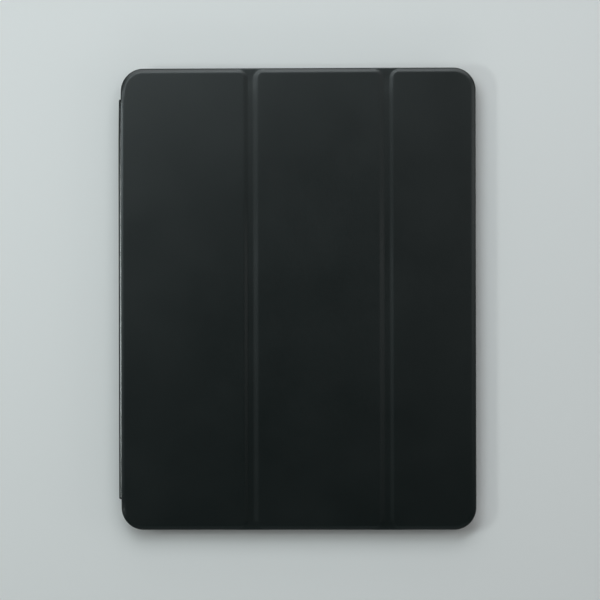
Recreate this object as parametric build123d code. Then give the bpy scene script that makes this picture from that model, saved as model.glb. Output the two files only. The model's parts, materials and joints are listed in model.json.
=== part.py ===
"""Tri-fold tablet case: a moulded tray that grips the tablet, and a leather-covered folding front cover.

Frame: the case lies on its back. +X points from the spine to the opening edge, +Y to the top edge,
+Z out of the front cover. The origin is under the middle of the case, on the surface it lies on.
All lengths are in millimetres, all angles in degrees.
"""

import os

from build123d import *

# ---- the tablet that the case holds ----
tablet_length = 280.6
tablet_width = 214.9
tablet_thickness = 6.4
tablet_corner_radius = 17.5
fit_gap = 0.25  # between the tablet's edge and the tray's wall
screen_gap = 0.15  # between the tablet's face and the lip, and under the tablet

# ---- tray ----
tray_wall = 1.45
tray_floor = 1.2
tray_corner_radius = 13.8
tray_back_rounding = 2.0
tray_top_rounding = 0.4
lip_reach = 1.0  # how far the lip stands in over the tablet's edge
lip_thickness = 0.6

# ---- leather, boards and lining ----
leather = 0.65
board = 1.1
lining = 0.4
lining_inset = 1.0  # bay lining, back from the tray's wall
cover_gap = 0.3  # between the tray's lip and the closed cover
turn_in = 4.0  # leather turned in round a board's edge, measured from the outside
edge_rounding = 1.5  # leather rolled over the boards' edges
cover_corner_radius = 13.8
board_play = 0.1  # between a board's edge and the leather round it
layer_play = 0.05  # round a lining that lies in a leather border

# ---- folds of the front cover ----
outer_pitch = 54.5  # opening edge to the outer fold line
middle_pitch = 84.0  # outer fold line to the inner fold line
crease_width = 5.5  # leather and lining only, between two boards
score_radius = 0.25  # pressed line along the middle of a crease

# ---- spine ----
spine_length = 246.0
spine_stiffener = 0.35
spine_gap = 0.15  # between the spine's lining and the tray's wall
spine_end_border = 2.0  # leather beyond the stiffener at each end
tab_width = 8.0  # back leather that runs out to the spine

# ---- back ----
back_inset = 1.9  # back leather, in from the tray's outline

# ---- openings in the tray ----
camera_side = 36.0
camera_radius = 9.0
camera_from_right = 24.5  # middle of the camera window, in from the tray's right side
camera_from_top = 24.5
camera_rim = 1.8
camera_rim_drop = 0.05  # rim, up from the surface that the case lies on
camera_play = 0.2
port_length = 14.0
port_height = 5.4
speaker_length = 30.0
speaker_height = 3.0
speaker_offset = 50.0  # middle of a speaker slot, from the middle of the tray
button_gap_length = 20.0
button_gap_offset = 78.5
volume_gap_length = 32.0
volume_gap_offset = 95.0
stylus_gap_length = 150.0
stylus_gap_offset = -5.0
gap_sill = 1.3  # wall left standing over the floor under an open gap
gap_corner = 2.5

# ---- magnets and steel ----
magnet_length = 12.0
magnet_width = 5.0
magnet_thickness = 0.9
magnet_play = 0.15
magnet_count = 8
magnet_pitch = 30.0
magnet_from_edge = 8.0  # middle of the magnets, in from the opening edge
wake_magnet_side = 6.0
wake_magnet_from_edge = 18.0
wake_magnet_from_top = 47.0
strip_width = 9.0
strip_length = 230.0
strip_thickness = 0.5
strip_from_edge = 12.0  # middle of the strip, in from the inner panel's spine edge

# ---- heights, from the surface that the case lies on ----
z_floor = leather
z_lining = z_floor + tray_floor
z_tablet = z_lining + lining + screen_gap
z_lip = z_tablet + tablet_thickness + screen_gap
z_rim = z_lip + lip_thickness
z_cover = z_rim + cover_gap
z_board = z_cover + lining
z_skin = z_board + board
z_front = z_skin + leather
z_tablet_middle = z_tablet + tablet_thickness / 2

# ---- plan sizes ----
bay_width = tablet_width + 2 * fit_gap
bay_length = tablet_length + 2 * fit_gap
bay_radius = tablet_corner_radius + fit_gap
tray_width = bay_width + 2 * tray_wall
tray_length = bay_length + 2 * tray_wall
spine_thickness = leather + spine_stiffener + lining
spine_corner = spine_thickness + spine_gap  # outside radius where the leather turns into the spine
case_width = tray_width + spine_corner
x_right = case_width / 2
x_spine = -case_width / 2
x_tray = x_right - tray_width / 2  # middle of the tray
x_left = x_right - tray_width  # left edge of the tray and of the cover's corners
x_corner = x_spine + spine_corner  # where the spine's rounding meets the flat leather
x_outer_fold = x_right - outer_pitch
x_inner_fold = x_outer_fold - middle_pitch
z_spine_low = spine_corner
z_spine_high = z_front - spine_corner
crease_top = z_board + leather

os.makedirs("parts", exist_ok=True)


def save(name, *solids):
    """Write one node: one solid, or several separate ones."""
    shape = solids[0] if len(solids) == 1 else Compound(children=list(solids))
    shape.label = name
    export_step(shape, f"parts/{name}.step")


def box(x0, x1, y0, y1, z0, z1):
    """A block between two corners."""
    middle = Pos((x0 + x1) / 2, (y0 + y1) / 2, (z0 + z1) / 2)
    return middle * Box(x1 - x0, y1 - y0, z1 - z0)


def slab(width, length, radius, z0, z1, x=0.0, y=0.0):
    """A flat block with rounded corners in plan."""
    return extrude(Pos(x, y, z0) * RectangleRounded(width, length, radius), z1 - z0)


def solid(shape):
    """The single solid that an operation leaves."""
    found = shape.solids()
    if len(found) != 1:
        raise ValueError(f"expected one solid, found {len(found)}")
    return found[0]


# ---------------------------------------------------------------- tray


def wall_slot(length, height, corner, x, y, along_x):
    """A rounded slot right through a side wall, at the height of the tablet's edge."""
    cut = RectangleRounded(length, height, corner)
    plane = Plane.XZ if along_x else Plane.YZ
    face = Plane(origin=(x, y, z_tablet_middle), x_dir=plane.x_dir, z_dir=plane.z_dir)
    return extrude(face * cut, tray_wall * 2, both=True)


def wall_gap(length, x, y, along_x):
    """A gap that is open at the top, from a low sill up through the lip."""
    low = z_lining + gap_sill
    height = 2 * (z_rim - low)
    plane = Plane.XZ if along_x else Plane.YZ
    face = Plane(origin=(x, y, z_rim), x_dir=plane.x_dir, z_dir=plane.z_dir)
    return extrude(face * RectangleRounded(length, height, gap_corner), tray_wall * 2, both=True)


def camera_block(side, z0, z1):
    """A rounded square column over the camera window."""
    x = x_right - camera_from_right
    y = tray_length / 2 - camera_from_top
    radius = camera_radius + (side - camera_side) / 2
    return slab(side, side, radius, z0, z1, x, y)


def back_shell():
    """The moulded tray: floor, walls, lip, camera rim, and the gaps for the tablet's controls."""
    outside = slab(tray_width, tray_length, tray_corner_radius, z_floor, z_rim, x_tray)
    outside = fillet(outside.faces().sort_by(Axis.Z)[0].edges(), tray_back_rounding)
    outside = fillet(outside.faces().sort_by(Axis.Z)[-1].edges(), tray_top_rounding)
    bay = slab(bay_width, bay_length, bay_radius, z_lining, z_lip, x_tray)
    mouth = slab(
        bay_width - 2 * lip_reach,
        bay_length - 2 * lip_reach,
        bay_radius - lip_reach,
        z_lip,
        z_rim,
        x_tray,
    )
    rim = camera_block(camera_side + 2 * camera_rim, camera_rim_drop, z_lining)
    tray = outside - bay - mouth + rim - camera_block(camera_side, 0, z_lining)
    top, right = tray_length / 2, x_right
    cuts = [
        wall_slot(port_length, port_height, port_height / 2 - 0.01, x_tray, -top, True),
        wall_gap(button_gap_length, x_tray + button_gap_offset, top, True),
        wall_gap(volume_gap_length, right, volume_gap_offset, False),
        wall_gap(stylus_gap_length, right, stylus_gap_offset, False),
    ]
    for y in (-top, top):
        for side in (-1, 1):
            x = x_tray + side * speaker_offset
            corner = speaker_height / 2 - 0.01
            cuts.append(wall_slot(speaker_length, speaker_height, corner, x, y, True))
    for cut in cuts:
        tray -= cut
    return solid(tray)


def shell_lining():
    """Soft sheet on the tray's floor, under the tablet."""
    sheet = slab(
        bay_width - 2 * lining_inset,
        bay_length - 2 * lining_inset,
        bay_radius - lining_inset,
        z_lining,
        z_lining + lining,
        x_tray,
    )
    return solid(sheet - camera_block(camera_side + 2 * camera_play, z_lining, z_board))


def back_skin():
    """Leather on the tray's back, with a tab that runs out to the spine and a hole round the camera rim."""
    sheet = slab(
        tray_width - 2 * back_inset,
        tray_length - 2 * back_inset,
        tray_corner_radius - back_inset,
        0,
        leather,
        x_tray,
    )
    tab = box(x_corner, x_corner + tab_width, -spine_length / 2, spine_length / 2, 0, leather)
    hole = camera_block(camera_side + 2 * (camera_rim + camera_play), 0, leather)
    return solid(sheet + tab - hole)


# ---------------------------------------------------------------- spine


def spine_skin():
    """Leather of the spine, a shallow pan round the stiffener."""
    x_in = x_spine + leather + spine_stiffener
    half = spine_length / 2
    outside = box(x_spine, x_in, -half, half, z_spine_low, z_spine_high)
    inside = half - spine_end_border
    return solid(outside - box(x_spine + leather, x_in, -inside, inside, z_spine_low, z_spine_high))


def spine_board():
    """Thin stiffener inside the spine."""
    x0 = x_spine + leather
    half = spine_length / 2 - spine_end_border - board_play
    return solid(box(x0, x0 + spine_stiffener, -half, half, z_spine_low, z_spine_high))


def spine_lining():
    """Lining on the spine's inner side."""
    x0 = x_spine + leather + spine_stiffener
    half = spine_length / 2
    return solid(box(x0, x0 + lining, -half, half, z_spine_low, z_spine_high))


def corner_strip(outer, thickness, z_middle, quadrant):
    """A strip that turns a quarter circle between spine and panel, as long as the spine."""
    ring = Circle(outer) - Circle(outer - thickness)
    quarter = Pos(-outer / 2, quadrant * outer / 2) * Rectangle(outer, outer)
    profile = Plane(origin=(x_corner, 0, z_middle), x_dir=(1, 0, 0), z_dir=(0, -1, 0)) * (ring & quarter)
    return solid(extrude(profile, spine_length / 2, both=True))


# ---------------------------------------------------------------- panels of the cover


def cover_plan(inset, radius):
    """The whole cover's outline, drawn in by an inset."""
    return Pos(x_tray, 0) * RectangleRounded(tray_width - 2 * inset, tray_length - 2 * inset, radius)


def between(x0, x1):
    """A plan rectangle that crops the cover's outline to one panel."""
    return Pos((x0 + x1) / 2, 0) * Rectangle(x1 - x0, 2 * tray_length)


def panel_layer(x0, x1, inset, z0, z1):
    """One layer of one panel: the cover's outline drawn in by an inset, between two lines across it."""
    plan = cover_plan(inset, cover_corner_radius - inset) & between(x0, x1)
    return extrude(Pos(0, 0, z0) * plan, z1 - z0)


def panel_skin(x0, x1, free_left, free_right):
    """Leather round one board: rolled over its edges, and turned in under the free ones.

    Along the spine the top edge is left square, where the front crease goes on from it.
    """
    skin = panel_layer(x0, x1, 0, z_cover, z_front)
    skin = fillet(skin.faces().sort_by(Axis.Z)[-1].edges(), edge_rounding)
    left = x0 + leather
    right = x1 - leather
    skin -= panel_layer(left, right, leather, z_board, z_skin)
    lining_left = x0 + turn_in if free_left else x0
    lining_right = x1 - turn_in if free_right else x1
    skin -= panel_layer(lining_left, lining_right, turn_in, z_cover, z_board)
    if free_left:
        half = spine_length / 2
        skin += box(x_corner, x0 + edge_rounding, -half, half, z_skin, z_front)
    return solid(skin)


def panel_board(x0, x1, pockets):
    """Stiff board of one panel, with pockets for what is let into it."""
    edge = leather + board_play
    plate = panel_layer(x0 + edge, x1 - edge, edge, z_board, z_skin)
    for pocket in pockets:
        plate -= pocket
    return solid(plate)


def panel_lining(x0, x1, free_left, free_right):
    """Soft lining of one panel, inside the turned-in leather."""
    left = x0 + turn_in + layer_play if free_left else x0
    right = x1 - turn_in - layer_play if free_right else x1
    return solid(panel_layer(left, right, turn_in + layer_play, z_cover, z_board))


def crease_skin(x_fold):
    """Leather at the bottom of a fold's groove, between two panels."""
    x0, x1 = x_fold - crease_width / 2, x_fold + crease_width / 2
    return solid(panel_layer(x0, x1, leather, z_board, crease_top))


def crease_lining(x_fold):
    """Lining under a fold, with the pressed line that it folds along."""
    x0, x1 = x_fold - crease_width / 2, x_fold + crease_width / 2
    strip = panel_layer(x0, x1, turn_in + layer_play, z_cover, z_board)
    score = Pos(x_fold, 0, z_cover) * Rot(90, 0, 0) * Cylinder(score_radius, tray_length)
    return solid(strip - score)


# ---------------------------------------------------------------- magnets and steel


def magnet_places():
    """Middles of the closing magnets, in a column along the opening edge."""
    x = x_right - magnet_from_edge
    first = -(magnet_count - 1) / 2
    return [(x, (first + n) * magnet_pitch) for n in range(magnet_count)]


def closing_magnets(play=0.0):
    """Flat bar magnets that hold the cover shut and the stand together, or their pockets."""
    width, length = magnet_width + 2 * play, magnet_length + 2 * play
    top = z_skin if play else z_board + magnet_thickness
    middles = magnet_places()
    return [
        box(x - width / 2, x + width / 2, y - length / 2, y + length / 2, z_board, top)
        for x, y in middles
    ]


def wake_magnet(play=0.0):
    """Small square magnet that switches the screen, or its pocket."""
    half = wake_magnet_side / 2 + play
    x, y = x_right - wake_magnet_from_edge, tray_length / 2 - wake_magnet_from_top
    top = z_skin if play else z_board + magnet_thickness
    return box(x - half, x + half, y - half, y + half, z_board, top)


def stand_strip(play=0.0):
    """Steel strip near the spine, which the closing magnets hold when the cover is folded as a stand."""
    x = x_left + strip_from_edge
    half_width, half_length = strip_width / 2 + play, strip_length / 2 + play
    top = z_board + strip_thickness + (layer_play if play else 0)
    return box(x - half_width, x + half_width, -half_length, half_length, z_board, top)


# ---------------------------------------------------------------- assembly


def build_shell():
    """The tray with what is bonded to it."""
    save("back_shell", back_shell())
    save("shell_lining", shell_lining())
    save("back_skin", back_skin())


def build_spine():
    """The spine, and the strips that turn from it to the back and to the front."""
    save("spine_skin", spine_skin())
    save("spine_board", spine_board())
    save("spine_lining", spine_lining())
    inner = spine_corner - leather
    for name, z_middle, quadrant in (("rear", z_spine_low, -1), ("front", z_spine_high, 1)):
        save(f"{name}_crease_skin", corner_strip(spine_corner, leather, z_middle, quadrant))
        save(f"{name}_crease_lining", corner_strip(inner, lining, z_middle, quadrant))


def build_panels():
    """The three panels of the cover and the folds between them."""
    half = crease_width / 2
    panels = {
        "inner": (x_left, x_inner_fold - half, True, False, [stand_strip(magnet_play)]),
        "middle": (x_inner_fold + half, x_outer_fold - half, False, False, []),
        "outer": (
            x_outer_fold + half,
            x_right,
            False,
            True,
            closing_magnets(magnet_play) + [wake_magnet(magnet_play)],
        ),
    }
    for name, (x0, x1, free_left, free_right, pockets) in panels.items():
        save(f"{name}_panel_skin", panel_skin(x0, x1, free_left, free_right))
        save(f"{name}_panel_board", panel_board(x0, x1, pockets))
        save(f"{name}_panel_lining", panel_lining(x0, x1, free_left, free_right))
    for name, x_fold in (("inner", x_inner_fold), ("outer", x_outer_fold)):
        save(f"{name}_crease_skin", crease_skin(x_fold))
        save(f"{name}_crease_lining", crease_lining(x_fold))
    save("closing_magnets", *closing_magnets())
    save("wake_magnet", wake_magnet())
    save("stand_strip", stand_strip())


def main():
    """Build every node."""
    build_shell()
    build_spine()
    build_panels()


main()
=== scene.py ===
"""Looks of the tri-fold tablet case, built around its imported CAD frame.

The leather, its turned-in hems and the linings are new surfaces worked out on numpy grids. The moulded
tray, the boards, the magnets and the steel strip are the frame's own nodes with finishes of their own.

Frame: +X runs from the spine to the opening edge, +Y to the top edge, +Z out of the front cover.
Lengths are in millimetres; a mesh is turned into metres when it is written.
"""

import json  # noqa: E402
import logging  # noqa: E402
import math  # noqa: E402
from collections.abc import Callable, Mapping, Sequence  # noqa: E402
from dataclasses import dataclass, field  # noqa: E402
from enum import Enum  # noqa: E402

import bpy  # noqa: E402
import numpy as np  # noqa: E402
from mathutils import Matrix, Vector  # noqa: E402

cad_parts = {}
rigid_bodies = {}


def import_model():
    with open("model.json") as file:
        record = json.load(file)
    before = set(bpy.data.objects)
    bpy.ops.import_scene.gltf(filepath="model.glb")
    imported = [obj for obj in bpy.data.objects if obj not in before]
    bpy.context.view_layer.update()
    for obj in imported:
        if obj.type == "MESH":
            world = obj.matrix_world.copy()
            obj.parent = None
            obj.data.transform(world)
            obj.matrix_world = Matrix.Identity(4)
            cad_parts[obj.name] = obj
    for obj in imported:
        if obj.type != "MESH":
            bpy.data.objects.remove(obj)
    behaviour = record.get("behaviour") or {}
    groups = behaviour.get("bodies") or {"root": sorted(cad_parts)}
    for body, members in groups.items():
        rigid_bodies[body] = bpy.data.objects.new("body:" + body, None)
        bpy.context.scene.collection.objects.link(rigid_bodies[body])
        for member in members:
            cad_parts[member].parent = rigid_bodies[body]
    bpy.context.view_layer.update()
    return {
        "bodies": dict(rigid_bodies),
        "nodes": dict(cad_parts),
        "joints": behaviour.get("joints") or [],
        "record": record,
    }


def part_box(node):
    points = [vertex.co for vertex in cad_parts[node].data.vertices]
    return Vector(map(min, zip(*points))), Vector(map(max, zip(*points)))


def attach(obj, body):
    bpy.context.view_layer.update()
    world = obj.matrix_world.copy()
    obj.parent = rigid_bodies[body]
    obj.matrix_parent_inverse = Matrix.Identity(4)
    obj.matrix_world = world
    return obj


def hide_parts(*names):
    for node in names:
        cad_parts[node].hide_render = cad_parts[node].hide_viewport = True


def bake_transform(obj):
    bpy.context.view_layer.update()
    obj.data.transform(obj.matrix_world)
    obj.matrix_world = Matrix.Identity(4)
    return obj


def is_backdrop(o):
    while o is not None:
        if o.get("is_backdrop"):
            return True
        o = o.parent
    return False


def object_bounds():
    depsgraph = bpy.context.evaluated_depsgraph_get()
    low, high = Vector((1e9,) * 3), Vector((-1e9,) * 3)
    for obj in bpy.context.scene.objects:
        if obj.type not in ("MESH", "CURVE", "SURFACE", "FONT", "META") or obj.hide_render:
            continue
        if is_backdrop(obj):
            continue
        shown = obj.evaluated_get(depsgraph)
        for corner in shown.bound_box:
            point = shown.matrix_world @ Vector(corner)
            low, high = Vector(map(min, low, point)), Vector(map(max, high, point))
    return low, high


log = logging.getLogger("tablet_case")

METRES = 0.001  # one millimetre
WORN_AND_LIT = "worn_and_lit"  # vertex attribute: 1 on edges that rub and get a painted highlight, 0 elsewhere
SMOOTH_ANGLE = math.radians(38)
RIGHT_ANGLE = math.pi / 2

Array = np.ndarray
Pair = tuple[float, float]
Triple = tuple[float, float, float]


# ------------------------------------------------------------------ formulas


def ramp(value: Array, low: float, high: float) -> Array:
    """Smooth step from 0 at low to 1 at high: t squared times (3 - 2 t)."""
    t = np.clip((value - low) / (high - low), 0.0, 1.0)
    return t * t * (3.0 - 2.0 * t)


def bell(value: Array, middle: float, width: float) -> Array:
    """Bell curve: 1 at its middle, and e to the minus square of the distance counted in widths."""
    return np.exp(-(((value - middle) / width) ** 2))


def fallen(distance: Array, width: float, depth: float) -> Array:
    """How far a quarter ellipse of this width and depth has fallen at a distance from its foot."""
    share = np.clip(1.0 - distance / width, 0.0, 1.0)
    return depth * (1.0 - np.sqrt(1.0 - share * share))


def inside_rounded(x: Array, y: Array, middle: Pair, half: Pair, corner: float) -> Array:
    """Distance inside the edge of a rounded rectangle, negative outside.

    It is the corner radius less the length of the part of the offset from the corner's centre that
    points outwards; where both parts point inwards, the greater of them counts.

    Args:
        x: Places along X.
        y: Places along Y.
        middle: X and Y of the rectangle's middle.
        half: Half its width and half its length.
        corner: Its corner radius.

    Returns:
        The distances.
    """
    across = np.abs(x - middle[0]) - half[0] + corner
    along = np.abs(y - middle[1]) - half[1] + corner
    outside = np.hypot(np.maximum(across, 0.0), np.maximum(along, 0.0))
    return corner - outside - np.minimum(np.maximum(across, along), 0.0)


def box_mm(node: str) -> tuple[Array, Array]:
    """Lowest and highest corner of a CAD node at rest, in millimetres."""
    low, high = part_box(node)
    return np.array(low) / METRES, np.array(high) / METRES


def border(grid: Array) -> Array:
    """The entries of a grid's border, of points or of numbers, each once and in order."""
    return np.concatenate((grid[0, :-1], grid[:-1, -1], grid[-1, :0:-1], grid[:0:-1, 0]))


# ------------------------------------------------------------------ closed meshes


class Shells:
    """Closed surfaces that are gathered into one mesh."""

    def __init__(self) -> None:
        """Starts with nothing."""
        self._points: list[Array] = []
        self._worn: list[Array] = []
        self._faces: list[tuple[int, ...]] = []
        self._count = 0

    def _take(self, points: Array, worn_and_lit: Array | float) -> Array:
        """Keeps points and hands back their numbers.

        Args:
            points: Places, with x, y and z in the last axis.
            worn_and_lit: How much each place rubs, and on the leather how much it is paled as a painted
                highlight, or one number for all.

        Returns:
            Vertex numbers in the shape of points without its last axis.
        """
        shape = points.shape[:-1]
        self._points.append(points.reshape(-1, 3))
        self._worn.append(np.broadcast_to(np.asarray(worn_and_lit, float), shape).reshape(-1))
        first, self._count = self._count, self._count + math.prod(shape)
        return np.arange(first, self._count).reshape(shape)

    def _close(self, faces: list[tuple[int, ...]]) -> None:
        """Keeps the faces of one closed surface, turned so that they face outwards.

        Each face is a fan of triangles; the sum of their scalar triple products is six times the volume,
        and where that is negative every face is turned round.

        Args:
            faces: Vertex numbers of each face.
        """
        points = np.concatenate(self._points)
        triangles = np.array([(f[0], f[i], f[i + 1]) for f in faces for i in range(1, len(f) - 1)])
        a, b, c = (points[triangles[:, i]] for i in range(3))
        volume = np.einsum("ij,ij->i", a, np.cross(b, c)).sum()
        self._faces += faces if volume > 0 else [face[::-1] for face in faces]

    @staticmethod
    def _quads(grid: Array) -> Array:
        """Four corners of each cell of a grid of vertex numbers."""
        return np.stack((grid[:-1, :-1], grid[:-1, 1:], grid[1:, 1:], grid[1:, :-1]), axis=-1).reshape(-1, 4)

    def between(
        self,
        upper: Array,
        lower: Array,
        rims: Sequence[Array] = (),
        worn_and_lit: Array | float = 0.0,
        rim_worn: float = 0.0,
    ) -> None:
        """Closes the space between two grids of the same size.

        The border of the upper grid is joined to each rim in turn and then to the lower grid's border.

        Args:
            upper: Grid of points, rows by columns by 3.
            lower: Grid of points of the same shape.
            rims: Loops of points, each as long as the border of a grid.
            worn_and_lit: How much each point of the upper grid rubs, and on the leather how much it is paled
                as a painted highlight.
            rim_worn: How much the rims rub.
        """
        top, bottom = self._take(upper, worn_and_lit), self._take(lower, 0.0)
        walls = np.stack([border(top), *(self._take(rim, rim_worn) for rim in rims), border(bottom)])
        walls = np.concatenate((walls, walls[:, :1]), axis=1)
        cells = np.concatenate((self._quads(top), self._quads(walls), self._quads(bottom)[:, ::-1]))
        self._close([tuple(cell) for cell in cells.tolist()])

    def carried(self, sections: Array, worn_and_lit: float = 0.0, ring: bool = False) -> None:
        """Joins closed profiles that follow each other along a path.

        Args:
            sections: Stations by points of the profile by 3; the profile closes on itself.
            worn_and_lit: How much the surface rubs, and on the leather how much it is paled as a painted
                highlight.
            ring: Whether the last station joins the first; otherwise both ends get a flat cap.
        """
        numbers = self._take(sections, worn_and_lit)
        wrapped = np.concatenate((numbers, numbers[:, :1]), axis=1)
        if ring:
            wrapped = np.concatenate((wrapped, wrapped[:1]), axis=0)
        faces = [tuple(cell) for cell in self._quads(wrapped).tolist()]
        if not ring:
            faces += [tuple(numbers[0, ::-1].tolist()), tuple(numbers[-1].tolist())]
        self._close(faces)

    def write(self, name: str) -> bpy.types.Object:
        """Writes the mesh and links an object for it.

        Args:
            name: Name of the piece.

        Returns:
            The new object, at the origin.
        """
        mesh = bpy.data.meshes.new(name)
        points = np.concatenate(self._points) * METRES
        mesh.from_pydata(points.tolist(), [], self._faces)
        mesh.validate()
        mesh.polygons.foreach_set("use_smooth", np.ones(len(mesh.polygons), bool))
        mesh.set_sharp_from_angle(angle=SMOOTH_ANGLE)
        attribute = mesh.attributes.new(WORN_AND_LIT, "FLOAT", "POINT")
        attribute.data.foreach_set("value", np.concatenate(self._worn).astype(np.float32))
        mesh.update()
        piece = bpy.data.objects.new(name, mesh)
        bpy.context.scene.collection.objects.link(piece)
        return piece


# ------------------------------------------------------------------ shader graphs


class Value:
    """A shader socket that takes part in arithmetic."""

    def __init__(self, graph: "Graph", socket: bpy.types.NodeSocket) -> None:
        """Wraps one output socket of a graph."""
        self.graph = graph
        self.socket = socket

    def _with(self, operation: str, *terms: "Value | float") -> "Value":
        """Adds one Math node with these terms."""
        node = self.graph.node("ShaderNodeMath", {"operation": operation}, dict(enumerate(terms)))
        return Value(self.graph, node.outputs[0])

    def __add__(self, other: "Value | float") -> "Value":
        """Sum."""
        return self._with("ADD", self, other)

    def __radd__(self, other: float) -> "Value":
        """Sum with a number on the left."""
        return self._with("ADD", other, self)

    def __sub__(self, other: "Value | float") -> "Value":
        """Difference."""
        return self._with("SUBTRACT", self, other)

    def __rsub__(self, other: float) -> "Value":
        """A number less this value."""
        return self._with("SUBTRACT", other, self)

    def __mul__(self, other: "Value | float") -> "Value":
        """Product."""
        return self._with("MULTIPLY", self, other)

    def __rmul__(self, other: float) -> "Value":
        """Product with a number on the left."""
        return self._with("MULTIPLY", other, self)

    def clipped(self) -> "Value":
        """This value, kept from 0 to 1."""
        return self._with("MINIMUM", self._with("MAXIMUM", self, 0.0), 1.0)


class Graph:
    """The node tree of one material or world."""

    def __init__(self, owner: bpy.types.Material | bpy.types.World) -> None:
        """Empties the owner's node tree.

        Args:
            owner: A material or a world.
        """
        owner.use_nodes = True
        self.owner = owner
        self.tree = owner.node_tree
        self.tree.nodes.clear()

    @classmethod
    def material(cls, name: str) -> "Graph":
        """Graph of a new material."""
        return cls(bpy.data.materials.new(name))

    @staticmethod
    def _socket(sockets: bpy.types.bpy_prop_collection, key: str | int) -> bpy.types.NodeSocket:
        """Finds a socket by its identifier, its number or its name."""
        named = {socket.identifier: socket for socket in sockets}
        return named[key] if key in named else sockets[key]

    def node(
        self,
        kind: str,
        settings: Mapping[str, object] | None = None,
        inputs: Mapping[str | int, object] | None = None,
    ) -> bpy.types.Node:
        """Adds one node.

        Args:
            kind: Type of the node.
            settings: Its properties, which are set before its sockets.
            inputs: What each socket holds: a number, a colour, or another socket to link.

        Returns:
            The node.
        """
        made = self.tree.nodes.new(kind)
        for key, setting in (settings or {}).items():
            setattr(made, key, setting)
        for key, term in (inputs or {}).items():
            target = self._socket(made.inputs, key)
            if isinstance(term, Value):
                self.tree.links.new(term.socket, target)
            elif isinstance(term, bpy.types.NodeSocket):
                self.tree.links.new(term, target)
            elif isinstance(term, tuple) and target.type == "RGBA":
                target.default_value = (*term, 1.0)
            else:
                target.default_value = term
        return made

    def place(self) -> bpy.types.NodeSocket:
        """Object coordinates, in metres."""
        return self.node("ShaderNodeTexCoord").outputs["Object"]

    def stretched(self, scale: Triple) -> bpy.types.NodeSocket:
        """Object coordinates, scaled along each axis."""
        inputs = {"Vector": self.place(), "Scale": scale}
        return self.node("ShaderNodeMapping", {"vector_type": "POINT"}, inputs).outputs["Vector"]

    def noise(self, per_metre: float, detail: float, roughness: float, at: object = None) -> Value:
        """Noise from 0 to 1.

        Args:
            per_metre: How many lumps a metre holds.
            detail: Number of finer octaves.
            roughness: Strength of the finer octaves.
            at: Coordinates, or None for Object coordinates.

        Returns:
            The noise.
        """
        inputs = {"Vector": at or self.place(), "Scale": per_metre, "Detail": detail, "Roughness": roughness}
        return Value(self, self.node("ShaderNodeTexNoise", {"noise_dimensions": "3D"}, inputs).outputs["Fac"])

    def cells(self, per_metre: float, softness: float) -> Value:
        """Distance to the nearest cell's middle in a smooth pattern.

        Args:
            per_metre: How many cells a metre holds.
            softness: How much the cells run together.

        Returns:
            The distance, near 0 in the middle of a cell.
        """
        inputs = {"Vector": self.place(), "Scale": per_metre, "Smoothness": softness}
        node = self.node("ShaderNodeTexVoronoi", {"feature": "SMOOTH_F1"}, inputs)
        return Value(self, node.outputs["Distance"])

    def worn_and_lit(self) -> Value:
        """The vertex attribute that says where a piece rubs, and where the leather is paled as a painted
        highlight.
        """
        return Value(self, self.node("ShaderNodeAttribute", {"attribute_name": WORN_AND_LIT}).outputs["Fac"])

    def smooth_step(self, value: Value, across: Pair, start: float, end: float) -> Value:
        """A smooth change from one number to another.

        Args:
            value: What it follows.
            across: Between which two numbers of that it changes.
            start: Number at the start.
            end: Number at the end.

        Returns:
            The changing number.
        """
        low, high = across
        inputs = {"Value": value, "From Min": low, "From Max": high, "To Min": start, "To Max": end}
        node = self.node("ShaderNodeMapRange", {"interpolation_type": "SMOOTHSTEP"}, inputs)
        return Value(self, node.outputs["Result"])

    def mixed(self, share: Value, first: object, second: object) -> bpy.types.NodeSocket:
        """A colour between two others.

        Args:
            share: 0 gives the first and 1 the second.
            first: A colour or the socket of one.
            second: Another.

        Returns:
            The socket of the mixed colour.
        """
        inputs = {"Factor_Float": share, "A_Color": first, "B_Color": second}
        settings = {"data_type": "RGBA", "clamp_factor": True}
        return self._socket(self.node("ShaderNodeMix", settings, inputs).outputs, "Result_Color")

    def bumped(self, height: Value, depth: float, strength: float, under: object = None) -> object:
        """A normal that shows a height pattern.

        Args:
            height: The pattern, from 0 to 1.
            depth: Height of a full step, in millimetres.
            strength: How much of it shows.
            under: Normal of a coarser pattern, or None.

        Returns:
            The socket of the normal.
        """
        inputs = {"Height": height, "Distance": depth * METRES, "Strength": strength}
        if under is not None:
            inputs["Normal"] = under
        return self.node("ShaderNodeBump", inputs=inputs).outputs["Normal"]

    def surface(self, inputs: Mapping[str, object]) -> bpy.types.Material:
        """Ends the graph in a Principled shader.

        Args:
            inputs: What its sockets hold.

        Returns:
            The finished material.
        """
        shader = self.node("ShaderNodeBsdfPrincipled", inputs=inputs)
        self.node("ShaderNodeOutputMaterial", inputs={"Surface": shader.outputs["BSDF"]})
        return self.owner


# ------------------------------------------------------------------ finishes


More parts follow.
